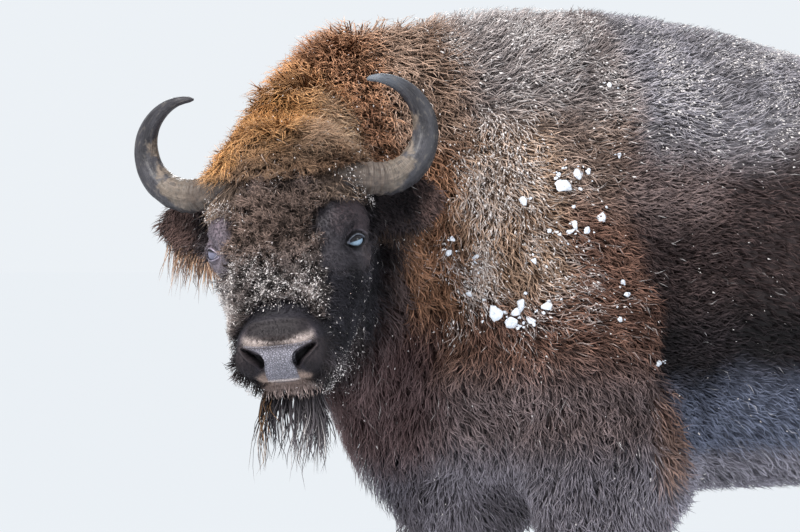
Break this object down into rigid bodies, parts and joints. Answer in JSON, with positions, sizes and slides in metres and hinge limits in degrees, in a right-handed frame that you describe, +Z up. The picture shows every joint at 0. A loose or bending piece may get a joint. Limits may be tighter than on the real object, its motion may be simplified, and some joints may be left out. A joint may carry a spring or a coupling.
{
  "type": "european bison",
  "caption": "Still, life-size European bison bull in winter coat, standing square on all four hooves with its head lowered and turned to its left.",
  "frame": {"origin": "on the floor, under the middle of the whole animal's box", "axes": "+X towards the head's end of the body, +Y to the animal's left, +Z up; the head is turned about 54 degrees to the left and its nose points 57 degrees down"},
  "size_m": [2.6544, 0.9502, 1.8678],
  "materials": {
    "body_coat": "short dense winter coat, dark grey-brown",
    "mane": "long woolly hair, warm orange-brown, frosted tips",
    "face_coat": "curly dark brown wool, frosted tips",
    "leg_coat": "short flat dark brown hair",
    "beard_hair": "long wet separate strands, near black",
    "horn_sheath": "slate-grey horn, beige and flaking at the base",
    "hoof_horn": "dark hoof horn",
    "eye": "wet dark eye",
    "skin": "bare dark skin of the nose, lips and lids",
    "frost": "small clumps of snow on the wool"
  },
  "bodies": {
    "root": {"head": "face_coat", "jaw": "face_coat", "ear_left": "face_coat", "ear_right": "face_coat", "neck": "mane", "forequarters": "mane", "barrel": "body_coat", "hindquarters": "body_coat", "tail_dock": "body_coat", "tail_tuft": "beard_hair", "beard": "beard_hair", "leg_front_left_upper": "mane", "leg_front_left_lower": "leg_coat", "hoof_front_left_outer": "hoof_horn", "dewclaw_front_left_outer": "hoof_horn", "hoof_front_left_inner": "hoof_horn", "dewclaw_front_left_inner": "hoof_horn", "leg_front_right_upper": "mane", "leg_front_right_lower": "leg_coat", "hoof_front_right_outer": "hoof_horn", "dewclaw_front_right_outer": "hoof_horn", "hoof_front_right_inner": "hoof_horn", "dewclaw_front_right_inner": "hoof_horn", "leg_hind_left_upper": "body_coat", "leg_hind_left_lower": "leg_coat", "hoof_hind_left_outer": "hoof_horn", "dewclaw_hind_left_outer": "hoof_horn", "hoof_hind_left_inner": "hoof_horn", "dewclaw_hind_left_inner": "hoof_horn", "leg_hind_right_upper": "body_coat", "leg_hind_right_lower": "leg_coat", "hoof_hind_right_outer": "hoof_horn", "dewclaw_hind_right_outer": "hoof_horn", "hoof_hind_right_inner": "hoof_horn", "dewclaw_hind_right_inner": "hoof_horn", "horn_left": "horn_sheath", "eye_left": "eye", "horn_right": "horn_sheath", "eye_right": "eye"}
  },
  "joints": []
}
